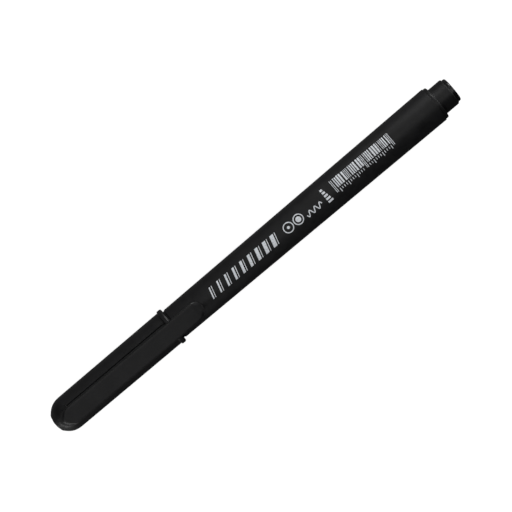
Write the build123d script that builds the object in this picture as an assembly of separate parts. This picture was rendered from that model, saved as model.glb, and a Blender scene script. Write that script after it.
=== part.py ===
"""Capped fibre-tip technical pen, built as its separate pieces.

The pen lies along X: cap tip at -X, rear button at +X, pocket clip on top (+Z).
The origin is the centre of its length, on the plane that the cap's mouth rim rests on.
Each piece is first drawn about the X axis, with stations counted from the cap's tip,
and is moved to the row frame when it is written. All sizes are in millimetres.
"""
import os

from build123d import *

# Whole pen
LENGTH = 140.0
RIM_R = 5.56                 # bead round the cap's mouth, the widest turned feature
PRESS_DEPTH = 8.0            # length of the front section that is pressed into the barrel
RUNNING_GAP = 0.04           # radial clearance of the cap on its seat and seal

# Barrel
BARREL_FRONT = 41.95
BARREL_REAR = 133.45
BARREL_FRONT_R = 4.67
BARREL_REAR_R = 5.27
FRONT_BORE_R = 3.7
MID_BORE_R = 3.8
REAR_BORE_R = 4.15
PLUG_BORE_R = 4.25
PLUG_DEPTH = 6.0
BARREL_ROUNDING = 0.35
BORE_STEP = 0.6              # length of the cone between the front bore and the middle bore
RIB_COUNT = 4
RIB_WIDTH = 0.6
RIB_SETBACK = 1.0
RIB_INNER_R = 3.5

# Front section: needle holder, seal land, grip and cap seat in one moulding
NOSE_START = 11.0
NOSE_TIP_R = 0.95
NOSE_ROUNDING = 0.2
NOSE_BLEND = 1.2
LAND_START = 15.6
LAND_END = 20.9
LAND_R = 2.2
GRIP_START_R = 3.1
GRIP_ROUNDING = 0.25
GRIP_END = 33.0
GRIP_END_R = 3.94
SEAT_START = 33.6
SEAT_R = 4.1
COLLAR_START = 41.6
COLLAR_R = 4.45
GROOVE_COUNT = 8
GROOVE_START = LAND_END + 1.2
GROOVE_WIDTH = 0.45
GROOVE_DEPTH = 0.12
GROOVE_PITCH = 1.3
AIR_GROOVE_WIDTH = 0.6
AIR_GROOVE_DEPTH = 0.35

# Needle, fibre point and feed
NIB_TIP = 7.2
POINT_R = 0.2                # a 0.4 mm line
POINT_ROUNDING = 0.12
CORE_R = 0.28
CORE_END = 21.0
SLEEVE_START = 7.9
SLEEVE_END = 16.0
SLEEVE_R = 0.55
SLEEVE_TIP_R = 0.42
SLEEVE_TAPER = 0.9
SLEEVE_ROUNDING = 0.08
WICK_END = 60.0
WICK_R = 1.1

# Ink store
STORE_START = BARREL_FRONT + PRESS_DEPTH
STORE_END = 122.0
STORE_R = 3.3
FILM = 0.1
BREATHER_R = 0.35
BREATHER_BORE_R = 0.2
BREATHER_OFFSET = 2.75
BREATHER_INSET = 0.5

# End plug and rear button
FLANGE_R = 5.05
FLANGE_END = 134.5
FLANGE_ROUNDING = 0.42
SKIRT_WALL = 0.8
PLUG_FLOOR = 1.0
SPIGOT_R = 4.08
SPIGOT_END = 138.95
SPIGOT_CHAMFER = 0.25
SPIGOT_BORE_R = 3.0
SPIGOT_POCKET = 2.9
STEM_R = 2.6
STEM_BORE_R = 1.9
STEM_SLOT_WIDTH = 1.0
STEM_SLOT_LENGTH = 2.0
BUTTON_R = 3.65
BUTTON_ROUNDING = 0.5
BUTTON_EDGE = 0.15
BUTTON_STEM = 2.6
BUTTON_STEM_ROUNDING = 0.3
BUTTON_DIMPLE_R = 1.5
BUTTON_DIMPLE = 0.25

# Cap
CAP_MOUTH = 41.55
RIM_START = 40.15
RIM_ROUNDING = 0.3
CAP_MOUTH_R = 5.16
CAP_BODY_START = 5.5
CAP_BODY_START_R = 5.03
CAP_DOME_CONTROL = ((1.75, 4.0), (2.8, CAP_BODY_START_R))
CAP_CROWN_R = 2.6
CAP_CROWN = 0.5
CAP_END_WALL = 1.7
CAP_BORE_R = SEAT_R + RUNNING_GAP
CAP_BORE_START = 33.0
CAP_BORE_NARROW_R = 3.95
CAP_BORE_SHOULDER = 5.2
SHOULDER_ROUNDING = 1.0
CROWN_ROUNDING = 0.3
MOUTH_LEAD = 0.3

# Vent plug in the cap's crown
VENT_STEM_R = 1.5
VENT_HEAD_R = 2.45
VENT_FACE_R = 0.9
VENT_FACE_ROUNDING = 2.0
VENT_EDGE = 0.42             # station where the head's slope reaches its rim
VENT_EDGE_ROUNDING = 0.1
VENT_STEM_ROUNDING = 0.2
VENT_DEPTH = 3.0
VENT_COUNT = 6
VENT_WIDTH = 0.6
VENT_INNER_R = 1.15

# Liner tube that seals on the front section's land
LINER_START = 3.0
LINER_END = 20.5
LINER_R = 2.95
LINER_BORE_R = LAND_R + RUNNING_GAP
LINER_FLOOR = 1.2
LINER_TAPER = 0.25
LINER_CHAMBER_R = LINER_BORE_R - 0.6
LINER_CONE_START = LAND_START - 3.0
LINER_CONE_END = LAND_START - 1.6
LINER_ROUNDINGS = (0.15, 0.1, 0.3)
LUG_COUNT = 4
LUG_LENGTH = 1.4
LUG_WIDTH = 1.6
LUG_ROOT = 0.3               # how deep a lug is rooted in the liner's wall

# Pocket clip: its profile is drawn as (station, height above the axis)
CLIP_WIDTH = 5.3
CLIP_END = 50.9
CLIP_ROOT = 1.9
CLIP_CORNER_R = 2.3
HINGE_X = 5.2
HINGE_Z = 5.72
KNUCKLE_R = 0.48
KNUCKLE_GAP = 0.04
ROOT_FOOT = (1.6, 3.0)
ROOT_BROW = (2.55, 5.2)
ROOT_TOP_X = 4.6
ROOT_BASE_Z = 2.0
BLADE_UNDER_END = (40.5, 5.68)
NECK_MIDDLE = (44.0, 5.67)
NECK_END = (47.0, 5.52)
BUMP_LOW = (48.9, 4.83)
BUMP_END = (50.6, 5.3)
TIP_Z = 5.82
TIP_BROW = (47.6, 6.48)
BLADE_TOP_END = (42.0, 6.66)

BIG = 20.0                   # larger than any cross-section of the pen


def turned(*corners):
    """Solid of revolution about X from (station, radius, corner rounding) corners."""
    points = [(station, 0, radius) for station, radius, _ in corners]
    outline = FilletPolyline(*points, radius=[rounding for _, _, rounding in corners], close=True)
    return revolve(make_face(outline), axis=Axis.X)


def rod(start, end, radius):
    """Plain cylinder along X between two stations."""
    return turned((start, 0, 0), (start, radius, 0), (end, radius, 0), (end, 0, 0))


def tube(start, end, outer, inner):
    """Plain tube along X between two stations."""
    return turned((start, inner, 0), (start, outer, 0), (end, outer, 0), (end, inner, 0))


def spoke(start, end, width, low, high, angle):
    """Radial bar between two stations and two radii, turned about X by an angle."""
    bar = Pos((start + end) / 2, 0, (low + high) / 2) * Box(end - start, width, high - low)
    return Rot(angle, 0, 0) * bar


def around(count, first=0.0):
    """Evenly spaced angles about the axis."""
    return [first + 360.0 * index / count for index in range(count)]


def upright(*places):
    """Points in the XZ plane from (station, height) pairs."""
    return [(station, 0, height) for station, height in places]


def barrel():
    """Tapered body tube with four inner ribs that centre the ink store."""
    plug_seat = BARREL_REAR - PLUG_DEPTH
    body = turned(
        (BARREL_FRONT, FRONT_BORE_R, 0),
        (BARREL_FRONT, BARREL_FRONT_R, BARREL_ROUNDING),
        (BARREL_REAR, BARREL_REAR_R, 0),
        (BARREL_REAR, PLUG_BORE_R, 0),
        (plug_seat, PLUG_BORE_R, 0),
        (plug_seat, REAR_BORE_R, 0),
        (STORE_START + BORE_STEP, MID_BORE_R, 0),
        (STORE_START, FRONT_BORE_R, 0),
    )
    rib_top = (REAR_BORE_R + BARREL_FRONT_R) / 2
    for angle in around(RIB_COUNT, 45.0):
        body += spoke(STORE_START + RIB_SETBACK, STORE_END, RIB_WIDTH, RIB_INNER_R, rib_top, angle)
    return body


def front_section():
    """Nose cone, seal land, ribbed grip, cap seat, collar and press-in plug."""
    body = turned(
        (NOSE_START, 0, 0),
        (NOSE_START, NOSE_TIP_R, NOSE_ROUNDING),
        (LAND_START, LAND_R, NOSE_BLEND),
        (LAND_END, LAND_R, 0),
        (LAND_END, GRIP_START_R, GRIP_ROUNDING),
        (GRIP_END, GRIP_END_R, 0),
        (SEAT_START, SEAT_R, 0),
        (COLLAR_START, SEAT_R, 0),
        (COLLAR_START, COLLAR_R, 0),
        (BARREL_FRONT, COLLAR_R, 0),
        (BARREL_FRONT, FRONT_BORE_R, 0),
        (STORE_START, FRONT_BORE_R, 0),
        (STORE_START, 0, 0),
    )
    slope = (GRIP_END_R - GRIP_START_R) / (GRIP_END - LAND_END)
    for index in range(GROOVE_COUNT):
        start = GROOVE_START + GROOVE_PITCH * index
        floor = GRIP_START_R + slope * (start - LAND_END) - GROOVE_DEPTH
        body -= tube(start, start + GROOVE_WIDTH, SEAT_R, floor)
    body -= rod(NOSE_START, SLEEVE_END, SLEEVE_R)
    body -= rod(SLEEVE_END, STORE_START, WICK_R)
    groove_floor = FRONT_BORE_R - AIR_GROOVE_DEPTH
    return body - spoke(COLLAR_START, STORE_START, AIR_GROOVE_WIDTH, groove_floor, RIM_R, 180.0)


def nib_ferrule():
    """Steel needle sleeve, swaged in at its mouth."""
    return turned(
        (SLEEVE_START, CORE_R, 0),
        (SLEEVE_START, SLEEVE_TIP_R, SLEEVE_ROUNDING),
        (SLEEVE_START + SLEEVE_TAPER, SLEEVE_R, 0),
        (SLEEVE_END, SLEEVE_R, 0),
        (SLEEVE_END, CORE_R, 0),
    )


def nib_core():
    """Extruded writing point, rounded at the tip, that runs back into the feed."""
    return turned(
        (NIB_TIP, 0, 0),
        (NIB_TIP, POINT_R, POINT_ROUNDING),
        (SLEEVE_START, CORE_R, 0),
        (CORE_END, CORE_R, 0),
        (CORE_END, 0, 0),
    )


def feed_wick():
    """Bonded fibre rod that carries ink from the store to the point."""
    return rod(SLEEVE_END, WICK_END, WICK_R) - rod(SLEEVE_END, CORE_END, CORE_R)


def breather_place():
    """Axis line of the breather tube inside the fibre."""
    return Pos(0, 0, BREATHER_OFFSET)


def ink_reservoir():
    """Fibre store with a blind hole for the feed and a hole for the breather tube."""
    body = rod(STORE_START, STORE_END, STORE_R)
    body -= rod(STORE_START, WICK_END, WICK_R)
    return body - breather_place() * rod(STORE_START + BREATHER_INSET, STORE_END, BREATHER_R)


def reservoir_wrap():
    """Plastic film round the fibre store."""
    return tube(STORE_START, STORE_END, STORE_R + FILM, STORE_R)


def breather_tube():
    """Air tube that runs along the store."""
    start = STORE_START + BREATHER_INSET
    return breather_place() * tube(start, STORE_END, BREATHER_R, BREATHER_BORE_R)


def end_plug():
    """Rear plug: skirt pressed in the barrel, flange, posting spigot and inner stem."""
    skirt_start = BARREL_REAR - PLUG_DEPTH
    skirt_bore = PLUG_BORE_R - SKIRT_WALL
    floor = BARREL_REAR - PLUG_FLOOR
    body = turned(
        (skirt_start, skirt_bore, 0),
        (skirt_start, PLUG_BORE_R, 0),
        (BARREL_REAR, PLUG_BORE_R, 0),
        (BARREL_REAR, FLANGE_R, 0),
        (FLANGE_END, FLANGE_R, FLANGE_ROUNDING),
        (FLANGE_END, SPIGOT_R, 0),
        (SPIGOT_END - SPIGOT_CHAMFER, SPIGOT_R, 0),
        (SPIGOT_END, SPIGOT_R - SPIGOT_CHAMFER, 0),
        (SPIGOT_END, SPIGOT_BORE_R, 0),
        (SPIGOT_END - SPIGOT_POCKET, SPIGOT_BORE_R, 0),
        (SPIGOT_END - SPIGOT_POCKET, 0, 0),
        (floor, 0, 0),
        (floor, skirt_bore, 0),
    )
    stem = tube(STORE_END, floor, STEM_R, STEM_BORE_R)
    slot_end = STORE_END + STEM_SLOT_LENGTH
    return body + (stem - spoke(STORE_END, slot_end, STEM_SLOT_WIDTH, -BIG, BIG, 0.0))


def end_button():
    """Button pressed in the spigot's open end, with a shallow dimple and a peg."""
    peg_start = SPIGOT_END - BUTTON_STEM
    body = turned(
        (peg_start, 0, 0),
        (peg_start, SPIGOT_BORE_R, BUTTON_STEM_ROUNDING),
        (SPIGOT_END, SPIGOT_BORE_R, 0),
        (SPIGOT_END, BUTTON_R, BUTTON_EDGE),
        (LENGTH, BUTTON_R, BUTTON_ROUNDING),
        (LENGTH, 0, 0),
    )
    return body - rod(LENGTH - BUTTON_DIMPLE, LENGTH, BUTTON_DIMPLE_R)


def cap_cavity():
    """Space inside the cap, closed at the crown."""
    beyond = CAP_MOUTH + MOUTH_LEAD
    return turned(
        (CAP_END_WALL, 0, 0),
        (CAP_END_WALL, CAP_CROWN_R, CROWN_ROUNDING),
        (CAP_BORE_SHOULDER, CAP_BORE_NARROW_R, SHOULDER_ROUNDING),
        (CAP_BORE_START, CAP_BORE_R, 0),
        (CAP_MOUTH - MOUTH_LEAD, CAP_BORE_R, 0),
        (beyond, CAP_BORE_R + 2 * MOUTH_LEAD, 0),
        (beyond, 0, 0),
    )


def cap_outside():
    """Domed, slightly tapered outside of the cap with its mouth bead."""
    crown = (CAP_CROWN, CAP_CROWN_R)
    shoulder = (CAP_BODY_START, CAP_BODY_START_R)
    dome = Bezier(*upright(crown, *CAP_DOME_CONTROL, shoulder))
    mouth = (CAP_MOUTH, CAP_MOUTH_R)
    rest = Polyline(*upright(shoulder, mouth, (CAP_MOUTH, 0), (CAP_CROWN, 0), crown))
    body = revolve(make_face([dome, rest]), axis=Axis.X)
    bead = turned(
        (RIM_START, CAP_BORE_R, 0),
        (RIM_START, RIM_R, RIM_ROUNDING),
        (CAP_MOUTH, RIM_R, 0),
        (CAP_MOUTH, CAP_BORE_R, 0),
    )
    return body + bead


def plan_outline(start, end):
    """Upright prism over the clip's rounded plan, between two stations."""
    face = RectangleRounded(end - start, CLIP_WIDTH, CLIP_CORNER_R)
    return Pos((start + end) / 2, 0, 0) * extrude(face, amount=BIG)


def side_outline(*edges):
    """Prism across Y from edges drawn in the XZ plane."""
    return extrude(make_face(list(edges)), amount=CLIP_WIDTH, both=True)


def clip_root():
    """Raised pad on the dome that carries the clip's hinge line."""
    top = HINGE_Z + KNUCKLE_R
    base = [(HINGE_X, ROOT_BASE_Z), (ROOT_FOOT[0], ROOT_BASE_Z)]
    front = ThreePointArc(*upright(ROOT_FOOT, ROOT_BROW, (ROOT_TOP_X, top)))
    rest = Polyline(*upright((ROOT_TOP_X, top), (HINGE_X, top), *base, ROOT_FOOT))
    pad = side_outline(front, rest)
    socket = Pos(HINGE_X, 0, HINGE_Z) * Rot(90, 0, 0) * Cylinder(KNUCKLE_R + KNUCKLE_GAP, BIG)
    return (pad - socket) & plan_outline(CLIP_ROOT, CLIP_END)


def cap_shell():
    """Cap with its end wall, bore, mouth bead, clip root and the hole for the vent plug."""
    body = cap_outside() + clip_root()
    body -= cap_cavity()
    return body - rod(0, CAP_END_WALL, VENT_STEM_R)


def cap_vent_plug():
    """Vent plug in the crown: domed head with radial air slots and a fluted stem."""
    body = turned(
        (0, 0, 0),
        (0, VENT_FACE_R, VENT_FACE_ROUNDING),
        (VENT_EDGE, VENT_HEAD_R, VENT_EDGE_ROUNDING),
        (CAP_CROWN, VENT_HEAD_R, 0),
        (CAP_CROWN, VENT_STEM_R, 0),
        (VENT_DEPTH, VENT_STEM_R, VENT_STEM_ROUNDING),
        (VENT_DEPTH, 0, 0),
    )
    for angle in around(VENT_COUNT):
        body -= spoke(0, VENT_DEPTH, VENT_WIDTH, VENT_INNER_R, BIG, angle)
    return body


def cap_liner():
    """Closed tube that seals on the nose, held in the cap by four lugs."""
    rim_outer, rim_inner, chamber = LINER_ROUNDINGS
    floor = LINER_START + LINER_FLOOR
    body = turned(
        (LINER_START, 0, 0),
        (LINER_START, LINER_R, 0),
        (LINER_END, LINER_R - LINER_TAPER, rim_outer),
        (LINER_END, LINER_BORE_R, rim_inner),
        (LINER_CONE_END, LINER_BORE_R, 0),
        (LINER_CONE_START, LINER_CHAMBER_R, 0),
        (floor, LINER_CHAMBER_R, chamber),
        (floor, 0, 0),
    )
    for angle in around(LUG_COUNT, 45.0):
        lug = spoke(floor, floor + LUG_LENGTH, LUG_WIDTH, LINER_R - LUG_ROOT, RIM_R, angle)
        body += lug & cap_cavity()
    return body


def cap_clip():
    """Pocket clip: round knuckle at the root, long blade and a turned-down end."""
    under = (HINGE_X, HINGE_Z - KNUCKLE_R)
    over = (HINGE_X, HINGE_Z + KNUCKLE_R)
    nose = (HINGE_X - KNUCKLE_R, HINGE_Z)
    tip = (CLIP_END, TIP_Z)
    blade = side_outline(
        Line(*upright(under, BLADE_UNDER_END)),
        ThreePointArc(*upright(BLADE_UNDER_END, NECK_MIDDLE, NECK_END)),
        ThreePointArc(*upright(NECK_END, BUMP_LOW, BUMP_END)),
        Line(*upright(BUMP_END, tip)),
        ThreePointArc(*upright(tip, TIP_BROW, BLADE_TOP_END)),
        Line(*upright(BLADE_TOP_END, over)),
        ThreePointArc(*upright(over, nose, under)),
    )
    return blade & plan_outline(CLIP_ROOT, CLIP_END)


PIECES = {
    "barrel": barrel,
    "front_section": front_section,
    "nib_ferrule": nib_ferrule,
    "nib_core": nib_core,
    "feed_wick": feed_wick,
    "ink_reservoir": ink_reservoir,
    "reservoir_wrap": reservoir_wrap,
    "breather_tube": breather_tube,
    "end_plug": end_plug,
    "end_button": end_button,
    "cap_shell": cap_shell,
    "cap_liner": cap_liner,
    "cap_vent_plug": cap_vent_plug,
    "cap_clip": cap_clip,
}

os.makedirs("parts", exist_ok=True)
for node, make in PIECES.items():
    piece = Pos(-LENGTH / 2, 0, RIM_R) * make()
    export_step(piece, f"parts/{node}.step")
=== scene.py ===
"""Looks of the capped technical pen: moulded black plastic, pale print and a plain studio stage.

The pen lies along X with its clip on +Z. Object sizes are in millimetres. Most are worked out from
the CAD nodes' boxes, and all are turned into metres when a mesh is made. The stage, the lights and
the camera are in metres.
"""
import math

import bmesh
import bpy
from mathutils import Matrix, Vector
from mathutils.geometry import interpolate_bezier


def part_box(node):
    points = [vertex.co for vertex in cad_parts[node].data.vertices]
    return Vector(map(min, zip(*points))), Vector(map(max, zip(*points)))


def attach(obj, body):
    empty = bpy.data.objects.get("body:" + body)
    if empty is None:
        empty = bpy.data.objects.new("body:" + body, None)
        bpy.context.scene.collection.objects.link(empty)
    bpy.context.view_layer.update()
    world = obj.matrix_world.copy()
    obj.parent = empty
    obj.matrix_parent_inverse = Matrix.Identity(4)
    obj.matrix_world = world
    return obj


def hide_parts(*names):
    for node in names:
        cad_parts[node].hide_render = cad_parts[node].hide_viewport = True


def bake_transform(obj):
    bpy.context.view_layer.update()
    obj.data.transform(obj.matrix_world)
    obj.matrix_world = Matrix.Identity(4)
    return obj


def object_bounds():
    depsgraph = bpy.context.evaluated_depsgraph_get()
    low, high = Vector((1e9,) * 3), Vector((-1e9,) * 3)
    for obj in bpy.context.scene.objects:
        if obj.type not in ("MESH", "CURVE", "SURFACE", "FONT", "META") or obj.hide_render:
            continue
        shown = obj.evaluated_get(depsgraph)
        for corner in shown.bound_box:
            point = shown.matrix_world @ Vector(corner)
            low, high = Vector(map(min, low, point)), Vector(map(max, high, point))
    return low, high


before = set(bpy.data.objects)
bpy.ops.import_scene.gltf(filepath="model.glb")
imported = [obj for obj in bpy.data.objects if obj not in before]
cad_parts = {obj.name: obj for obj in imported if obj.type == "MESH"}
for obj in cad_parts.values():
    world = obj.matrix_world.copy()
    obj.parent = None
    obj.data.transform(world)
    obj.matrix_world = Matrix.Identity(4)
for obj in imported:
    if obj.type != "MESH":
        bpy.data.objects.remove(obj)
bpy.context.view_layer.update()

MM = 0.001
ROUND_SEGMENTS = 144                 # facets round a turned piece
ARC_STEPS = 6                        # facets along a rounded edge
SHARP_EDGE = math.radians(35.0)      # steeper edges are shaded sharp


# ---------------------------------------------------------------- places read from the frame

def span(node):
    """(first station, last station, largest radius) of a turned node, in mm."""
    low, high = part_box(node)
    return low.x / MM, high.x / MM, (high.y - low.y) / 2 / MM


barrel_low, barrel_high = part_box("barrel")
AXIS_Z = (barrel_low.z + barrel_high.z) / 2 / MM

BARREL_FRONT, BARREL_REAR, BARREL_REAR_R = span("barrel")
SPIGOT_END, FLANGE_R = span("end_plug")[1:]
BUTTON_START, PEN_REAR, BUTTON_R = span("end_button")
SECTION_START, SECTION_END, COLLAR_R = span("front_section")
SLEEVE_START, SLEEVE_END, SLEEVE_R = span("nib_ferrule")
NIB_START, CORE_END, CORE_R = span("nib_core")
CROWN, CAP_MOUTH, RIM_R = span("cap_shell")
LINER_START, LINER_END = span("cap_liner")[:2]
VENT_START, VENT_END, VENT_HEAD_R = span("cap_vent_plug")
HINGE_EDGE, CLIP_END, CLIP_HALF = span("cap_clip")
CLIP_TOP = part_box("cap_clip")[1].z / MM - AXIS_Z
WICK_R = span("feed_wick")[2]

# Radii and lengths that no node's box gives
BARREL_FRONT_R = 4.67
FRONT_BORE_R = 3.7
PLUG_BORE_R = 4.25
PLUG_SKIRT = 6.0                     # how far the end plug's skirt reaches into the barrel
SPIGOT_R = 4.08
SPIGOT_BORE_R = 3.0
SEAT_R = 4.1
LAND_R = 2.2
CAP_SHOULDER = CROWN + 5.0           # where the dome meets the cap's long body
CAP_R = 5.03
CAP_MOUTH_R = 5.16
CAP_BORE_R = 4.14
CROWN_FLAT_R = 2.6                   # the crown's flat face, and the cap's floor inside it
VENT_STEM_R = 1.5


# ---------------------------------------------------------------- mesh making

def rounded(corners, closed=True):
    """Outline points from (x, r, rounding) corners, with an arc at each rounded corner."""
    points = []
    count = len(corners)
    for index, (x, y, radius) in enumerate(corners):
        here = Vector((x, y))
        if radius == 0 or (not closed and index in (0, count - 1)):
            points.append(here)
            continue
        back = (Vector(corners[index - 1][:2]) - here).normalized()
        ahead = (Vector(corners[(index + 1) % count][:2]) - here).normalized()
        half = back.angle(ahead) / 2
        centre = here + (back + ahead).normalized() * radius / math.sin(half)
        start = here + back * radius / math.tan(half) - centre
        end = here + ahead * radius / math.tan(half) - centre
        turn = math.pi - 2 * half
        for step in range(ARC_STEPS + 1):
            share = step / ARC_STEPS
            arm = start * math.sin((1 - share) * turn) + end * math.sin(share * turn)
            points.append(centre + arm / math.sin(turn))
    return points


def new_object(name, mesh_data):
    """Scene object from a bmesh, smooth except at sharp edges, with outward normals."""
    bmesh.ops.recalc_face_normals(mesh_data, faces=mesh_data.faces)
    mesh = bpy.data.meshes.new(name)
    mesh_data.to_mesh(mesh)
    mesh_data.free()
    mesh.shade_smooth()
    mesh.set_sharp_from_angle(angle=SHARP_EDGE)
    piece = bpy.data.objects.new(name, mesh)
    bpy.context.scene.collection.objects.link(piece)
    return piece


def ring_vertex(mesh_data, x, radius, angle):
    """Vertex at a station and radius, at an angle from +Z towards +Y."""
    place = Vector((x, radius * math.sin(angle), AXIS_Z + radius * math.cos(angle)))
    return mesh_data.verts.new(place * MM)


def lathe(name, points, closed, segments=ROUND_SEGMENTS, shape=None):
    """Piece turned about the pen's axis from (x, r) points; open outlines start and end on the axis.

    shape(angle, x, r) may give another radius, for slots and sunk strips.
    """
    mesh_data = bmesh.new()
    rings = []
    for x, radius in points:
        if radius < 1e-6:
            rings.append([ring_vertex(mesh_data, x, 0, 0)])
            continue
        ring = []
        for index in range(segments):
            angle = 2 * math.pi * index / segments
            ring.append(ring_vertex(mesh_data, x, shape(angle, x, radius) if shape else radius, angle))
        rings.append(ring)
    pairs = list(zip(rings, rings[1:]))
    if closed:
        pairs.append((rings[-1], rings[0]))
    for first, second in pairs:
        for index in range(segments):
            after = (index + 1) % segments
            corners = [first[index % len(first)], first[after % len(first)]]
            corners += [second[after % len(second)], second[index % len(second)]]
            unique = list(dict.fromkeys(corners))
            if len(unique) > 2:
                mesh_data.faces.new(unique)
    return new_object(name, mesh_data)


def bridge(mesh_data, first, second):
    """Faces between two rings of equally many vertices."""
    for index in range(len(first)):
        after = (index + 1) % len(first)
        mesh_data.faces.new((first[index], first[after], second[after], second[index]))


def loft(name, rings):
    """Closed piece through rings of equal point count (in mm about the axis), capped at both ends."""
    mesh_data = bmesh.new()
    rows = [[mesh_data.verts.new(Vector((x, y, z + AXIS_Z)) * MM) for x, y, z in ring] for ring in rings]
    for first, second in zip(rows, rows[1:]):
        bridge(mesh_data, first, second)
    mesh_data.faces.new(rows[0])
    mesh_data.faces.new(rows[-1])
    return new_object(name, mesh_data)


# ---------------------------------------------------------------- materials

def material(name):
    """Empty node material and its Principled shader."""
    made = bpy.data.materials.new(name)
    made.use_nodes = True
    nodes = made.node_tree.nodes
    nodes.clear()
    shader = nodes.new("ShaderNodeBsdfPrincipled")
    output = nodes.new("ShaderNodeOutputMaterial")
    made.node_tree.links.new(shader.outputs["BSDF"], output.inputs["Surface"])
    return made, shader


def noise(made, scale, detail=3.0, stretch=(1, 1, 1)):
    """Noise in the frame's own coordinates; scale is in features per metre."""
    nodes, links = made.node_tree.nodes, made.node_tree.links
    coordinates = nodes.new("ShaderNodeTexCoord")
    mapping = nodes.new("ShaderNodeMapping")
    mapping.inputs["Scale"].default_value = stretch
    links.new(coordinates.outputs["Object"], mapping.inputs["Vector"])
    texture = nodes.new("ShaderNodeTexNoise")
    texture.inputs["Scale"].default_value = scale
    texture.inputs["Detail"].default_value = detail
    links.new(mapping.outputs["Vector"], texture.inputs["Vector"])
    return texture.outputs["Fac"]


def ramp(made, value, low, high, start=0.35, end=0.65):
    """Colour or number between two ends, driven by a texture value."""
    nodes, links = made.node_tree.nodes, made.node_tree.links
    node = nodes.new("ShaderNodeValToRGB")
    node.color_ramp.elements[0].position = start
    node.color_ramp.elements[1].position = end
    for element, colour in zip(node.color_ramp.elements, (low, high)):
        element.color = (colour, colour, colour, 1) if isinstance(colour, float) else (*colour, 1)
    links.new(value, node.inputs["Fac"])
    return node.outputs["Color"]


def bump(made, shader, value, depth_mm, below=None):
    """Bump of a real depth from a texture value, stacked on an earlier bump."""
    nodes, links = made.node_tree.nodes, made.node_tree.links
    node = nodes.new("ShaderNodeBump")
    node.inputs["Strength"].default_value = 1.0
    node.inputs["Distance"].default_value = depth_mm * MM
    links.new(value, node.inputs["Height"])
    if below:
        links.new(below, node.inputs["Normal"])
    links.new(node.outputs["Normal"], shader.inputs["Normal"])
    return node.outputs["Normal"]


def black_plastic(name, rough, grain_mm, specular=0.35):
    """Moulded black plastic: cloudy tone, uneven gloss, a fine moulded grain and broader waves."""
    dark, light = (0.0030, 0.0030, 0.0034), (0.0058, 0.0058, 0.0064)
    made, shader = material(name)
    links = made.node_tree.links
    links.new(ramp(made, noise(made, 260, 4), dark, light), shader.inputs["Base Color"])
    links.new(ramp(made, noise(made, 900, 5), rough[0], rough[1]), shader.inputs["Roughness"])
    shader.inputs["Specular IOR Level"].default_value = specular
    grain = bump(made, shader, noise(made, 5200, 4), grain_mm)
    bump(made, shader, noise(made, 320, 2), grain_mm * 2.5, below=grain)
    return made


def print_ink():
    """Pad-printed white ink: slightly blue, with thin spots and an uneven surface."""
    made, shader = material("print_ink")
    links = made.node_tree.links
    thin = noise(made, 2600, 3)
    thin_white, full_white = (0.60, 0.63, 0.68), (0.86, 0.89, 0.93)
    links.new(ramp(made, thin, thin_white, full_white, 0.3, 0.5), shader.inputs["Base Color"])
    links.new(ramp(made, noise(made, 1400, 3), 0.45, 0.6), shader.inputs["Roughness"])
    bump(made, shader, thin, 0.004)
    return made


def needle_steel():
    """Drawn steel tube with fine lines round it."""
    made, shader = material("needle_steel")
    links = made.node_tree.links
    lines = noise(made, 3000, 4, stretch=(6, 0.6, 0.6))
    links.new(ramp(made, lines, (0.50, 0.50, 0.49), (0.66, 0.66, 0.64)), shader.inputs["Base Color"])
    links.new(ramp(made, lines, 0.2, 0.34), shader.inputs["Roughness"])
    shader.inputs["Metallic"].default_value = 1.0
    bump(made, shader, lines, 0.0012)
    return made


def fibre(name, dark, light, along=8.0):
    """Bonded fibre: streaks along the pen's axis."""
    made, shader = material(name)
    links = made.node_tree.links
    streaks = noise(made, 2400, 5, stretch=(1 / along, 1, 1))
    links.new(ramp(made, streaks, dark, light), shader.inputs["Base Color"])
    links.new(ramp(made, streaks, 0.6, 0.9), shader.inputs["Roughness"])
    bump(made, shader, streaks, 0.02)
    return made


def pale_plastic(name, dark, light, rough):
    """Natural, slightly translucent moulded plastic."""
    made, shader = material(name)
    links = made.node_tree.links
    links.new(ramp(made, noise(made, 500, 3), dark, light), shader.inputs["Base Color"])
    links.new(ramp(made, noise(made, 1500, 3), rough[0], rough[1]), shader.inputs["Roughness"])
    shader.inputs["Subsurface Weight"].default_value = 0.2
    shader.inputs["Subsurface Radius"].default_value = (0.001, 0.001, 0.001)
    shader.inputs["Subsurface Scale"].default_value = 0.5
    bump(made, shader, noise(made, 4000, 3), 0.002)
    return made


barrel_black = black_plastic("barrel_plastic", (0.44, 0.54), 0.0035)
cap_black = black_plastic("cap_plastic", (0.42, 0.52), 0.004)
clip_black = black_plastic("clip_plastic", (0.40, 0.50), 0.004, 0.4)
section_black = black_plastic("section_plastic", (0.38, 0.50), 0.004)
plug_black = black_plastic("plug_plastic", (0.40, 0.50), 0.004)
gloss_black = black_plastic("polished_plastic", (0.16, 0.28), 0.003, 0.5)
ink_white = print_ink()
steel = needle_steel()
nib_stuff = fibre("nib_fibre", (0.010, 0.010, 0.014), (0.030, 0.030, 0.038))
wick_stuff = fibre("wick_fibre", (0.008, 0.008, 0.012), (0.024, 0.024, 0.032))
store_stuff = fibre("store_fibre", (0.012, 0.012, 0.018), (0.035, 0.035, 0.045), 20.0)
liner_stuff = pale_plastic("liner_natural", (0.55, 0.55, 0.52), (0.66, 0.66, 0.63), (0.35, 0.5))
film_stuff = pale_plastic("store_film", (0.60, 0.61, 0.63), (0.74, 0.75, 0.77), (0.12, 0.22))
tube_stuff = pale_plastic("breather_natural", (0.62, 0.62, 0.60), (0.72, 0.72, 0.70), (0.25, 0.35))


# ---------------------------------------------------------------- turned pieces of the pen

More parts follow.
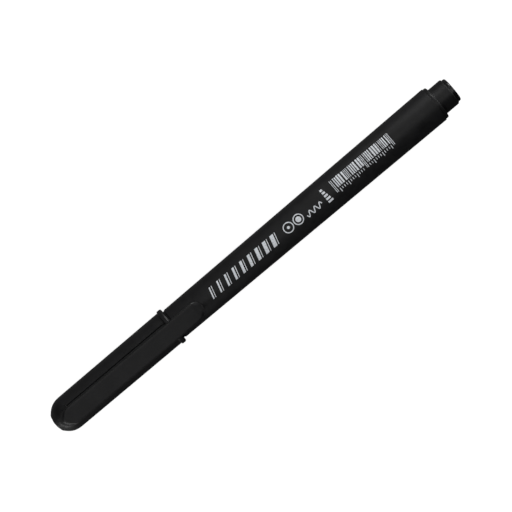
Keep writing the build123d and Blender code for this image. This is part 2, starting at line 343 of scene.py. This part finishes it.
def make_barrel():
    """Tapered tube, rounded at the front edge and crisp at the rear."""
    front, rear = BARREL_FRONT, BARREL_REAR
    bore_step = 0.1
    corners = [
        (front, FRONT_BORE_R, 0.1), (front, BARREL_FRONT_R, 0.36), (rear, BARREL_REAR_R, 0.1),
        (rear, PLUG_BORE_R, 0), (rear - PLUG_SKIRT, PLUG_BORE_R, 0),
        (rear - PLUG_SKIRT, PLUG_BORE_R - bore_step, 0),
        (front + 8.6, FRONT_BORE_R + bore_step, 0), (front + 8.0, FRONT_BORE_R, 0),
    ]
    return lathe("barrel_tube", rounded(corners), closed=True)


def make_end_plug():
    """Rear plug: skirt, rounded flange, posting spigot with a chamfer, and inner floor."""
    rear = BARREL_REAR
    skirt_start, skirt_bore = rear - PLUG_SKIRT, PLUG_BORE_R - 0.8
    floor = rear - 1.0
    flange_end = rear + 1.05
    chamfer_long, chamfer_deep = 0.25, 0.22
    pocket = SPIGOT_END - 2.9
    corners = [
        (floor, 0, 0), (floor, skirt_bore, 0.2), (skirt_start, skirt_bore, 0),
        (skirt_start, PLUG_BORE_R, 0.2), (rear, PLUG_BORE_R, 0), (rear, FLANGE_R, 0.06),
        (flange_end, FLANGE_R, 0.42), (flange_end, SPIGOT_R, 0.14),
        (SPIGOT_END - chamfer_long, SPIGOT_R, 0.12), (SPIGOT_END, SPIGOT_R - chamfer_deep, 0.05),
        (SPIGOT_END, SPIGOT_BORE_R, 0), (pocket, SPIGOT_BORE_R, 0), (pocket, 0, 0),
    ]
    return lathe("end_plug_shell", rounded(corners, closed=False), closed=False)


def make_button():
    """Glossy rear button with a rounded rim and a shallow dished face."""
    dish_r, dish_floor_r = 1.75, 1.45
    dish_floor = PEN_REAR - 0.25
    corners = [
        (BUTTON_START, 0, 0), (BUTTON_START, SPIGOT_BORE_R, 0.3), (SPIGOT_END, SPIGOT_BORE_R, 0),
        (SPIGOT_END, BUTTON_R, 0.14), (PEN_REAR, BUTTON_R, 0.5), (PEN_REAR, dish_r, 0.15),
        (dish_floor, dish_floor_r, 0.15), (dish_floor, 0, 0),
    ]
    return lathe("rear_button", rounded(corners, closed=False), closed=False)


def make_section():
    """Front section: nose, seal land, grip with soft grooves, cap seat and collar."""
    nose, land, land_end = SECTION_START, SECTION_START + 4.6, SECTION_START + 9.9
    grip_end, seat = SECTION_START + 22.0, SECTION_START + 22.6
    collar = BARREL_FRONT - 0.35
    nose_r, grip_r, grip_end_r = 0.95, 3.1, 3.94
    grooves, pitch, depth = 8, 1.3, 0.12
    corners = [
        (nose, SLEEVE_R, 0), (nose, nose_r, 0.2), (land, LAND_R, 1.2),
        (land_end, LAND_R, 0.12), (land_end, grip_r, 0.25),
    ]
    for index in range(grooves):
        start = land_end + 1.2 + pitch * index
        radius = grip_r + (start - land_end) / (grip_end - land_end) * (grip_end_r - grip_r)
        corners += [
            (start, radius, 0.05), (start + 0.1, radius - depth, 0.04),
            (start + 0.35, radius - depth, 0.04), (start + 0.45, radius + 0.03, 0.05),
        ]
    corners += [
        (grip_end, grip_end_r, 0.5), (seat, SEAT_R, 0.5), (collar, SEAT_R, 0.06), (collar, COLLAR_R, 0.08),
        (BARREL_FRONT, COLLAR_R, 0), (BARREL_FRONT, FRONT_BORE_R, 0), (SECTION_END, FRONT_BORE_R, 0.2),
        (SECTION_END, WICK_R, 0), (SLEEVE_END, WICK_R, 0), (SLEEVE_END, SLEEVE_R, 0),
    ]
    return lathe("front_section_moulding", rounded(corners), closed=True)


def make_sleeve():
    """Needle sleeve, swaged in at its mouth."""
    mouth_r, swage = 0.42, 0.9
    corners = [
        (SLEEVE_START, CORE_R, 0.03), (SLEEVE_START, mouth_r, 0.08), (SLEEVE_START + swage, SLEEVE_R, 0.3),
        (SLEEVE_END, SLEEVE_R, 0), (SLEEVE_END, CORE_R, 0),
    ]
    return lathe("needle_sleeve", rounded(corners), closed=True, segments=72)


def make_core():
    """Writing point: rounded tip and a straight core."""
    tip_r = 0.2
    corners = [
        (NIB_START, 0, 0), (NIB_START, tip_r, 0.13), (SLEEVE_START, CORE_R, 0.1),
        (CORE_END, CORE_R, 0), (CORE_END, 0, 0),
    ]
    return lathe("writing_point", rounded(corners, closed=False), closed=False, segments=48)


# ---------------------------------------------------------------- cap, liner and vent plug

# The strip of the cap that is sunk under the clip
RECESS_START = CROWN + 5.2
RECESS_END = CAP_MOUTH - 2.2
RECESS_DEPTH = 0.28
RECESS_HALF = CLIP_HALF + 0.42
RECESS_WALL = 0.16                   # width of its sloping side walls
RECESS_RAMP = 0.25                   # length of its sloping ends


def clamp(value):
    """Value held between 0 and 1."""
    return min(1.0, max(0.0, value))


def ease(value):
    """Smooth step from 0 to 1."""
    value = clamp(value)
    return value * value * (3 - 2 * value)


def dome_points():
    """Outside of the cap's domed end, from the crown to the shoulder."""
    crown = Vector((CROWN, CROWN_FLAT_R))
    shoulder = Vector((CAP_SHOULDER, CAP_R))
    handles = Vector((CROWN + 1.25, 4.0)), Vector((CROWN + 2.3, CAP_R))
    return [Vector(p[:2]) for p in interpolate_bezier(crown, *handles, shoulder, 28)]


def cap_radius(x):
    """Outside radius of the cap at a station."""
    points = dome_points() + [Vector((CAP_MOUTH, CAP_MOUTH_R))]
    for first, second in zip(points, points[1:]):
        if x <= second.x:
            share = (x - first.x) / (second.x - first.x)
            return first.y + max(0.0, share) * (second.y - first.y)
    return CAP_MOUTH_R


def clip_recess(angle, x, radius):
    """Radius of the cap, sunk where it lies under the clip."""
    inside = radius < CAP_R - 0.1
    if inside or not RECESS_START < x < RECESS_END:
        return radius
    off = min(angle, 2 * math.pi - angle) * radius
    return radius - RECESS_DEPTH * ease((RECESS_HALF - off) / RECESS_WALL)


def make_cap():
    """Cap shell: dome, tapered body sunk under the clip, mouth bead, bore and crown hole."""
    rim = CAP_MOUTH - 1.4
    chamfer_long, chamfer_deep = 0.34, 0.16
    lead_in = 0.3
    crown_floor = CROWN + 1.2
    taper = (CAP_MOUTH_R - CAP_R) / (rim - CAP_SHOULDER)
    stations = (
        CAP_SHOULDER, RECESS_START, RECESS_START + RECESS_RAMP, RECESS_END - RECESS_RAMP, RECESS_END,
    )
    body = [(x, CAP_R + taper * (x - CAP_SHOULDER), 0) for x in stations]
    mouth = [
        (rim - 0.02, CAP_MOUTH_R - 0.005, 0.1), (rim, RIM_R, 0.32),
        (CAP_MOUTH - chamfer_long, RIM_R, 0.08), (CAP_MOUTH, RIM_R - chamfer_deep, 0.04),
        (CAP_MOUTH, CAP_BORE_R + lead_in, 0.1), (CAP_MOUTH - lead_in, CAP_BORE_R, 0.1),
    ]
    inside = [
        (CAP_MOUTH - 8.5, CAP_BORE_R, 0), (CROWN + 4.7, 3.95, 1.0), (crown_floor, CROWN_FLAT_R, 0.3),
        (crown_floor, VENT_STEM_R, 0), (CROWN, VENT_STEM_R, 0),
    ]
    points = dome_points() + rounded(body + mouth + inside, closed=False)[1:]
    return lathe("cap_shell_moulding", points, closed=True, segments=432, shape=clip_recess)


def make_gate_nub():
    """Snipped moulding gate beside the clip's root, a low round stub on the cap's side."""
    angle, stub_r, height, sides = math.radians(36.0), 0.27, 0.33, 24
    out = Vector((0, math.sin(angle), math.cos(angle)))
    side = Vector((0, math.cos(angle), -math.sin(angle)))
    foot = Vector((CAP_SHOULDER, 0, 0)) + out * (CAP_R - 0.15)
    turns = [2 * math.pi * index / sides for index in range(sides)]
    arms = [Vector((1, 0, 0)) * math.cos(turn) + side * math.sin(turn) for turn in turns]
    profile = (0, stub_r), (height - 0.06, stub_r), (height - 0.01, stub_r * 0.8), (height, stub_r * 0.4)
    return loft("gate_nub", [[foot + out * up + arm * radius for arm in arms] for up, radius in profile])


def make_liner():
    """Liner tube closed at its front; its lugs are hidden between the tube and the cap."""
    floor, seal = LINER_START + 1.2, LINER_END - 4.9
    seal_r, chamber_r = 2.24, 1.64
    corners = [
        (LINER_START, 0, 0), (LINER_START, 2.95, 0.2), (LINER_END, 2.7, 0.15), (LINER_END, seal_r, 0.12),
        (seal - 1.6, seal_r, 0.2), (seal - 3.0, chamber_r, 0.2), (floor, chamber_r, 0.3), (floor, 0, 0),
    ]
    return lathe("liner_tube", rounded(corners, closed=False), closed=False, segments=96)


def vent_slots(angle, x, radius):
    """Radius of the vent plug, pulled in at its six air slots."""
    slots, slot_floor_r, half_width, wall = 6, 1.15, 0.42, 0.16
    turn = (angle * slots / (2 * math.pi)) % 1.0
    off = abs(turn - 0.5) * 2 * math.pi / slots * max(radius, 1.2)
    if off > half_width or radius < slot_floor_r:
        return radius
    return slot_floor_r + (radius - slot_floor_r) * ease((off - half_width + wall) / wall)


def make_vent():
    """Vent plug in the crown: domed, polished head with air slots."""
    corners = [
        (VENT_START, 0, 0), (VENT_START, 0.9, 2.0), (VENT_START + 0.4, VENT_HEAD_R, 0.12),
        (CROWN, VENT_HEAD_R, 0), (CROWN, VENT_STEM_R, 0), (VENT_END, VENT_STEM_R, 0.2), (VENT_END, 0, 0),
    ]
    outline = rounded(corners, closed=False)
    return lathe("vent_plug_head", outline, closed=False, segments=216, shape=vent_slots)


# ---------------------------------------------------------------- clip

# Stations along the clip, from its root on the dome to its end
CLIP_START = CROWN + 1.05
ROOT_END = HINGE_EDGE + 0.45         # where the clip leaves the cap
TURN_START = CLIP_END - 8.9          # where its face starts to turn down
END_REACH = 2.6                      # length of the fine stations at each end
BUMP_PLACE = CLIP_END - 2.1          # where its inner bump comes nearest the barrel
TAIL_START = CLIP_END - 1.2          # where its underside starts to rise to its end

CLIP_EDGE_R = 0.3                    # rounding of its long upper edges
TURN_EDGE_R = 0.45                   # and of those at the turned-down end
MIN_HALF = 0.02                      # half width of the first and last section
ROOT_SINK = 0.35                     # how deep the root is sunk in the cap
ROOT_ARCH = 1.9                      # length over which the root rises from the dome
ROOT_POINT = 2.3                     # how far the arch's sides lie behind its point
ROOT_BLEND_START = ROOT_END - 0.35   # where the underside starts to leave the cap
ROOT_BLEND = 0.5                     # and the length over which it does
END_ROUND = 0.5                      # length over which the face is rounded at each end
END_DROP = 0.35                      # and how far it falls there
FACE_DISH = 0.035                    # how far the middle of the face is sunk
CORNER_CUT = 1.5                     # steepness of the facets at the end's corners


def clip_half(x):
    """Half width of the clip: rounded in plan at the root and at the free end."""
    reach = 2.45
    near = min(x - CLIP_START, CLIP_END - x)
    if near >= reach:
        return CLIP_HALF
    off = 1 - max(0.0, near) / reach
    return CLIP_HALF * (1 - off ** 2.3) ** (1 / 2.1)


def clip_over(x):
    """Height of the clip's face above the axis: rising slowly, then turned down."""
    rise, turn_down = 0.46, 0.86
    if x > TURN_START:
        off = (x - TURN_START) / (CLIP_END - TURN_START)
        return CLIP_TOP - turn_down * off ** 2.4
    return CLIP_TOP - rise * (TURN_START - x) / (TURN_START - HINGE_EDGE)


def clip_under(x, y):
    """Height of the clip's underside: sunk in the cap at the root, then clear, with a bump at the end."""
    root_height, rise, bump_height, bump_reach, tail_lift = 5.24, 0.44, 0.8, 1.0, 0.1
    inside = cap_radius(x) - ROOT_SINK
    sunk = math.sqrt(max(0.0, inside * inside - y * y))
    clear = root_height + rise * (x - HINGE_EDGE) / (TURN_START - HINGE_EDGE)
    clear -= bump_height * math.exp(-((x - BUMP_PLACE) / bump_reach) ** 2)
    clear += tail_lift * ease((x - TAIL_START) / (CLIP_END - TAIL_START))
    share = ease((x - ROOT_BLEND_START) / ROOT_BLEND)
    return sunk + (clear - sunk) * share


def root_drop(x, y):
    """How far the face falls to the dome at the root, along a pointed arch."""
    off = clamp(1 - (x - CLIP_START - ROOT_POINT * (y / CLIP_HALF) ** 2) / ROOT_ARCH)
    return (clip_over(x) - cap_radius(CLIP_START) - 0.05) * off ** 2.5


def corner_drop(x, y):
    """How far the clip's face falls away on the slanted facets at its two end corners."""
    lengthwise, sideways, start = 0.85, 1.25, 1.2
    along = (x - CLIP_END + END_REACH) / END_REACH
    past_edge = max(0.0, lengthwise * along + sideways * abs(y) / CLIP_HALF - start)
    return CORNER_CUT * past_edge * ease(along * 3)


def edge_arc(x, half, top, radius, side):
    """Rounded upper edge of the clip on one side (+1 or -1), from the face down to the flank."""
    steps = 5
    points = []
    for step in range(1, steps + 1):
        turn = math.pi / 2 * step / steps
        y = side * (half - radius + radius * math.sin(turn))
        points.append((x, y, top + radius * math.cos(turn)))
    return points


def clip_ring(x):
    """Closed cross-section of the clip at a station, as (x, y, z) points about the axis."""
    half = max(MIN_HALF, clip_half(x))
    end = clamp(min(x - CLIP_START, CLIP_END - x) / END_ROUND)
    top = clip_over(x) - END_DROP * (1 - math.sqrt(1 - (1 - end) ** 2))
    side = top - root_drop(x, half)
    thick = side - clip_under(x, half)
    rounding = CLIP_EDGE_R + (TURN_EDGE_R - CLIP_EDGE_R) * ease((x - TURN_START) / 6)
    edge = min(rounding, 0.45 * thick, 0.9 * half)
    facet = min(corner_drop(x, half - edge), max(0.0, 0.8 * thick - edge))
    side_top = side - facet - edge
    across = 16
    face, underside = [], []
    for index in range(across + 1):
        share = 2 * index / across - 1
        y = (half - edge) * share
        dish = FACE_DISH * (1 - (y / CLIP_HALF) ** 2)
        face.append((x, y, max(top - dish - corner_drop(x, y) - root_drop(x, y), side_top + edge)))
        y = -half * share
        underside.append((x, y, min(clip_under(x, y), side_top - 0.02)))
    right = edge_arc(x, half, side_top, edge, 1)
    left = edge_arc(x, half, side_top, edge, -1)
    return face + right + underside + left[::-1]


def stations_between(start, end, count, pace=lambda share: share):
    """Stations after start and up to end; pace(0 to 1) spreads them."""
    return [start + (end - start) * pace(index / count) for index in range(1, count + 1)]


def clip_stations():
    """Stations along the clip, close together at its ends and at the root's throat."""
    front, throat, rear = CLIP_START + END_REACH, ROOT_END + 0.4, CLIP_END - END_REACH
    stations = [CLIP_START]
    stations += stations_between(CLIP_START, front, 14, lambda share: 1 - math.cos(math.pi / 2 * share))
    stations += stations_between(front, throat, 10)
    stations += stations_between(throat, TURN_START, 24)
    stations += stations_between(TURN_START, rear, 20)
    stations += stations_between(rear, CLIP_END, 16, lambda share: math.sin(math.pi / 2 * share))
    return stations


def make_clip():
    """Pocket clip: one moulding from its root on the dome to its turned-down end."""
    return loft("pocket_clip", [clip_ring(x) for x in clip_stations()])


# ---------------------------------------------------------------- print on the barrel

PRINT_UP = math.radians(11.0)        # the print's middle line, from +Z towards +Y
INK_ABOVE = 0.014                    # how far the ink stands above the plastic
INK_BELOW = 0.03                     # and how far it reaches into it
INK_FACET = 0.3                      # longest straight stretch of ink round the barrel


def on_barrel(x, down, lift):
    """Point on the barrel at a station and a distance round it from the print's middle line."""
    share = (x - BARREL_FRONT) / (BARREL_REAR - BARREL_FRONT)
    radius = BARREL_FRONT_R + share * (BARREL_REAR_R - BARREL_FRONT_R)
    angle = PRINT_UP - down / radius
    reach = radius + lift
    return Vector((x, reach * math.sin(angle), AXIS_Z + reach * math.cos(angle))) * MM


def ribbon(mesh_data, pairs, looped=False, across=1):
    """Thin closed band of ink between pairs of (station, distance round) points."""
    rows = []
    for (x0, d0), (x1, d1) in pairs:
        shares = [index / across for index in range(across + 1)]
        places = [(x0 + (x1 - x0) * s, d0 + (d1 - d0) * s) for s in shares]
        outer = [mesh_data.verts.new(on_barrel(x, d, INK_ABOVE)) for x, d in places]
        inner = [mesh_data.verts.new(on_barrel(x, d, -INK_BELOW)) for x, d in places]
        rows.append(outer + inner[::-1])
    for first, second in zip(rows, rows[1:]):
        bridge(mesh_data, first, second)
    if looped:
        bridge(mesh_data, rows[-1], rows[0])
    else:
        mesh_data.faces.new(rows[0])
        mesh_data.faces.new(rows[-1])


def stroke(mesh_data, x, width, top, bottom, lean=0.0):
    """Straight bar from top to bottom; lean moves its top towards the rear."""
    count = max(1, math.ceil(abs(bottom - top) / INK_FACET))
    pairs = []
    for index in range(count + 1):
        down = top + (bottom - top) * index / count
        shift = lean * (bottom - down)
        pairs.append(((x + shift, down), (x + shift + width, down)))
    ribbon(mesh_data, pairs)


def ring_mark(mesh_data, x, outer, inner):
    """Round ring on the print's middle line, or a dot when the inner radius is tiny."""
    sides = 40
    pairs = []
    for index in range(sides):
        turn = 2 * math.pi * index / sides
        along, down = math.cos(turn), math.sin(turn)
        pairs.append(((x + along * inner, down * inner), (x + along * outer, down * outer)))
    ribbon(mesh_data, pairs, looped=True, across=math.ceil((outer - inner) / INK_FACET))


def width_ladder(mesh_data):
    """Nine slanted strokes of growing width, each with a hairline beside it."""
    start, pitch, hairline = BARREL_FRONT + 12.4, 2.66, 0.2
    top, bottom, lean = -1.5, 1.75, 0.28
    for index in range(9):
        x = start + pitch * index
        width = 0.38 + 0.1 * index
        stroke(mesh_data, x, width, top, bottom, lean)
        stroke(mesh_data, x + width + 0.4, hairline, top, bottom, lean)


def point_rings(mesh_data):
    """Two target rings with a small and a large dot."""
    start, pitch, ring_r, line = BARREL_FRONT + 40.1, 3.45, 1.55, 0.28
    for index, dot_r in enumerate((0.42, 0.8)):
        x = start + pitch * index
        ring_mark(mesh_data, x, ring_r, ring_r - line)
        ring_mark(mesh_data, x, dot_r, 0.02)


def line_sample(mesh_data):
    """Short drawn wave."""
    start, length, middle, height, waves, half_line = BARREL_FRONT + 46.0, 5.2, 0.78, 0.72, 3, 0.15
    steps = 60
    pairs = []
    for index in range(steps + 1):
        share = index / steps
        turn = 2 * math.pi * waves * share
        x, down = start + length * share, middle + height * math.sin(turn)
        slope = height * 2 * math.pi * waves / length * math.cos(turn)
        side = Vector((-slope, 1)).normalized() * half_line
        pairs.append(((x - side.x, down - side.y), (x + side.x, down + side.y)))
    ribbon(mesh_data, pairs)


def tone_steps(mesh_data):
    """Column of five blocks, each longer than the last."""
    x, first, pitch, height = BARREL_FRONT + 52.7, -2.3, 0.95, 0.6
    for index in range(5):
        top = first + pitch * index
        stroke(mesh_data, x, 0.75 + 0.22 * index, top, top + height)


def bar_scale(mesh_data):
    """Meaningless bar pattern over a ruler scale with a gap in its middle."""
    x, top, short_end, long_end, thin = BARREL_FRONT + 56.2, -2.5, 0.35, 1.35, 0.17
    for index in range(33):
        long_bar = index in (0, 1, 16, 17, 31, 32)
        width = thin if long_bar else thin * (1 + (index * index + index // 3) % 3)
        stroke(mesh_data, x, width, top, long_end if long_bar else short_end)
        x += width + (0.46 if index % 4 == 1 else 0.25)
    ruler, pitch, line = BARREL_FRONT + 57.4, 0.74, 0.2
    ruler_top, tick_end, long_tick_end = 0.75, 1.45, 2.0
    for index in range(25):
        if index != 12:
            end = long_tick_end if index % 4 == 0 else tick_end
            stroke(mesh_data, ruler + pitch * index, line, ruler_top, end)


# ---------------------------------------------------------------- assembly

def finish_piece(piece, stuff, body, slot, *nodes):
    """Gives a piece its material and its body, and hides the CAD nodes that it stands for; slot is not
    used.
    """
    piece.data.materials.append(stuff)
    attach(piece, body)
    if nodes:
        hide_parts(*nodes)


finish_piece(make_barrel(), barrel_black, "pen", "barrel_black", "barrel")
finish_piece(make_end_plug(), plug_black, "pen", "plug_black", "end_plug")
finish_piece(make_button(), gloss_black, "pen", "button_black", "end_button")
finish_piece(make_section(), section_black, "pen", "section_black", "front_section")
finish_piece(make_sleeve(), steel, "pen", "needle_steel", "nib_ferrule")
finish_piece(make_core(), nib_stuff, "pen", "nib_fibre", "nib_core")
finish_piece(make_cap(), cap_black, "cap", "cap_black", "cap_shell")
finish_piece(make_gate_nub(), gloss_black, "cap", "cap_black")
finish_piece(make_liner(), liner_stuff, "cap", "liner_plastic", "cap_liner")
finish_piece(make_vent(), gloss_black, "cap", "vent_black", "cap_vent_plug")

for mark, draw in {
    "print_width_ladder": width_ladder,
    "print_point_rings": point_rings,
    "print_line_sample": line_sample,
    "print_tone_steps": tone_steps,
    "print_bar_scale": bar_scale,
}.items():
    marks_mesh = bmesh.new()
    draw(marks_mesh)
    finish_piece(new_object(mark, marks_mesh), ink_white, "pen", "print_white")

clip = make_clip()
clip.data.materials.append(clip_black)
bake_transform(clip)
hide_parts("cap_clip")

for node, stuff in {
    "feed_wick": wick_stuff,
    "ink_reservoir": store_stuff,
    "reservoir_wrap": film_stuff,
    "breather_tube": tube_stuff,
}.items():
    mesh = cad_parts[node].data
    mesh.materials.clear()
    mesh.materials.append(stuff)


# ---------------------------------------------------------------- stage, light and camera

FLOOR_SIZE = 4.0
FLOOR_GAP = 0.00002                  # kept free between the floor and the pen
FLOOR_PALE = 0.4                     # how much light the floor returns to the camera
FLOOR_GLOW = 0.88                    # and what is added to it, so that it looks white
LIT_FLOOR = 0.15                     # how bright the floor glows in reflections, where it is painted as lit
SHADED_FLOOR = 0.03                  # and in the painted shadow band beside the pen


def smooth_range(made, value, start, end, low, high):
    """Smooth step of a value, from low at start to high at end."""
    node = made.node_tree.nodes.new("ShaderNodeMapRange")
    node.interpolation_type = "SMOOTHSTEP"
    for socket, number in zip(("From Min", "From Max", "To Min", "To Max"), (start, end, low, high)):
        node.inputs[socket].default_value = number
    made.node_tree.links.new(value, node.inputs["Value"])
    return node.outputs["Result"]


def floor_material():
    """Pale floor: white to the camera; to everything else a dim glow, painted darkest in a shadow band
    beside the pen.
    """
    made = bpy.data.materials.new("floor_white")
    made.use_nodes = True
    nodes, links = made.node_tree.nodes, made.node_tree.links
    nodes.clear()
    pale = nodes.new("ShaderNodeBsdfDiffuse")
    pale.inputs["Color"].default_value = (FLOOR_PALE, FLOOR_PALE, FLOOR_PALE, 1)
    glow = nodes.new("ShaderNodeEmission")
    glow.inputs["Strength"].default_value = FLOOR_GLOW
    seen = nodes.new("ShaderNodeAddShader")
    links.new(pale.outputs["BSDF"], seen.inputs[0])
    links.new(glow.outputs["Emission"], seen.inputs[1])

    place = nodes.new("ShaderNodeSeparateXYZ")
    links.new(nodes.new("ShaderNodeTexCoord").outputs["Object"], place.inputs["Vector"])
    # Painted shadow: a fixed band along the pen's -Y side, stopping short of the crown, where the floor's
    # reflected glow is dimmer
    shadow = nodes.new("ShaderNodeMath")
    shadow.operation = "MULTIPLY"
    links.new(smooth_range(made, place.outputs["Y"], 0.004, -0.004, 0, 1), shadow.inputs[0])
    links.new(smooth_range(made, place.outputs["X"], -0.073, -0.061, 0, 1), shadow.inputs[1])
    reflected = nodes.new("ShaderNodeEmission")
    brightness = smooth_range(made, shadow.outputs["Value"], 0, 1, LIT_FLOOR, SHADED_FLOOR)
    links.new(brightness, reflected.inputs["Strength"])

    paths = nodes.new("ShaderNodeLightPath")
    mix = nodes.new("ShaderNodeMixShader")
    output = nodes.new("ShaderNodeOutputMaterial")
    links.new(paths.outputs["Is Camera Ray"], mix.inputs["Fac"])
    links.new(reflected.outputs["Emission"], mix.inputs[1])
    links.new(seen.outputs["Shader"], mix.inputs[2])
    links.new(mix.outputs["Shader"], output.inputs["Surface"])
    return made


def make_floor():
    """Large plain floor just under the pen."""
    mesh_data = bmesh.new()
    bmesh.ops.create_grid(mesh_data, x_segments=2, y_segments=2, size=FLOOR_SIZE)
    floor = new_object("floor", mesh_data)
    floor.location.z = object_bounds()[0].z - FLOOR_GAP
    floor.data.materials.append(floor_material())


def area_light(name, place, aim_height, size, watts):
    """Soft rectangular light that the camera doesn't see, aimed at or just above the floor's middle."""
    light = bpy.data.lights.new(name, "AREA")
    light.shape = "RECTANGLE"
    light.size, light.size_y = size
    light.energy = watts
    lamp = bpy.data.objects.new(name, light)
    bpy.context.scene.collection.objects.link(lamp)
    lamp.location = place
    lamp.rotation_mode = "QUATERNION"
    lamp.rotation_quaternion = (Vector((0, 0, aim_height)) - Vector(place)).to_track_quat("-Z", "Y")
    lamp.visible_camera = False


def make_world():
    """Surround: pale to the camera, and almost dark to everything else."""
    world = bpy.data.worlds.new("studio")
    bpy.context.scene.world = world
    world.use_nodes = True
    nodes, links = world.node_tree.nodes, world.node_tree.links
    nodes.clear()
    paths = nodes.new("ShaderNodeLightPath")
    seen = nodes.new("ShaderNodeBackground")
    seen.inputs["Color"].default_value = (0.93, 0.93, 0.93, 1)
    fill = nodes.new("ShaderNodeBackground")
    fill.inputs["Strength"].default_value = 0.02
    mix = nodes.new("ShaderNodeMixShader")
    output = nodes.new("ShaderNodeOutputWorld")
    links.new(paths.outputs["Is Camera Ray"], mix.inputs["Fac"])
    links.new(fill.outputs["Background"], mix.inputs[1])
    links.new(seen.outputs["Background"], mix.inputs[2])
    links.new(mix.outputs["Shader"], output.inputs["Surface"])


def make_camera():
    """Long lens above the pen, tipped towards +Y and rolled so that the pen climbs to the right."""
    tip, roll = math.radians(11.0), math.radians(40.17)
    distance, sensor, frame_width = 0.9, 36.0, 137.84 * MM
    aside, above = 0.52 * MM, 0.16 * MM
    along = Vector((1, 0, 0))
    across = Vector((0, -math.cos(tip), math.sin(tip)))
    back = Vector((0, math.sin(tip), math.cos(tip)))
    right = along * math.cos(roll) + across * math.sin(roll)
    up = along * math.sin(roll) - across * math.cos(roll)
    target = Vector((0, 0, AXIS_Z * MM)) + right * aside + up * above
    lens = bpy.data.cameras.new("camera")
    lens.sensor_width = sensor
    lens.lens = sensor * distance / frame_width
    camera = bpy.data.objects.new("camera", lens)
    bpy.context.scene.collection.objects.link(camera)
    turned = Matrix((right, up, back)).transposed().to_4x4()
    camera.matrix_world = Matrix.Translation(target + back * distance) @ turned
    bpy.context.scene.camera = camera


make_floor()
make_world()
# name, place, height aimed at, size, watts
area_light("overhead_soft", (0.0, 0.14, 0.99), 0, (0.9, 0.6), 1.8)
area_light("side_soft", (0.0, 0.707, 0.707), 0, (0.9, 0.4), 0.7)
area_light("horizon_soft", (0.0, 0.98, 0.19), 0, (0.9, 0.36), 0.25)
area_light("front_high", (-0.7, 0.0, 0.5), 0.01, (0.3, 0.3), 0.3)
area_light("front_low", (-0.66, -0.3, 0.08), 0.01, (0.3, 0.14), 1.2)
area_light("front_side", (-0.5, -0.5, 0.3), 0.01, (0.3, 0.3), 2.0)
area_light("rear_low", (0.75, 0.05, 0.16), 0.01, (0.3, 0.3), 1.4)
area_light("rear_side", (0.5, 0.6, 0.2), 0.01, (0.25, 0.25), 3.4)
make_camera()
bpy.context.scene.view_settings.view_transform = "Standard"
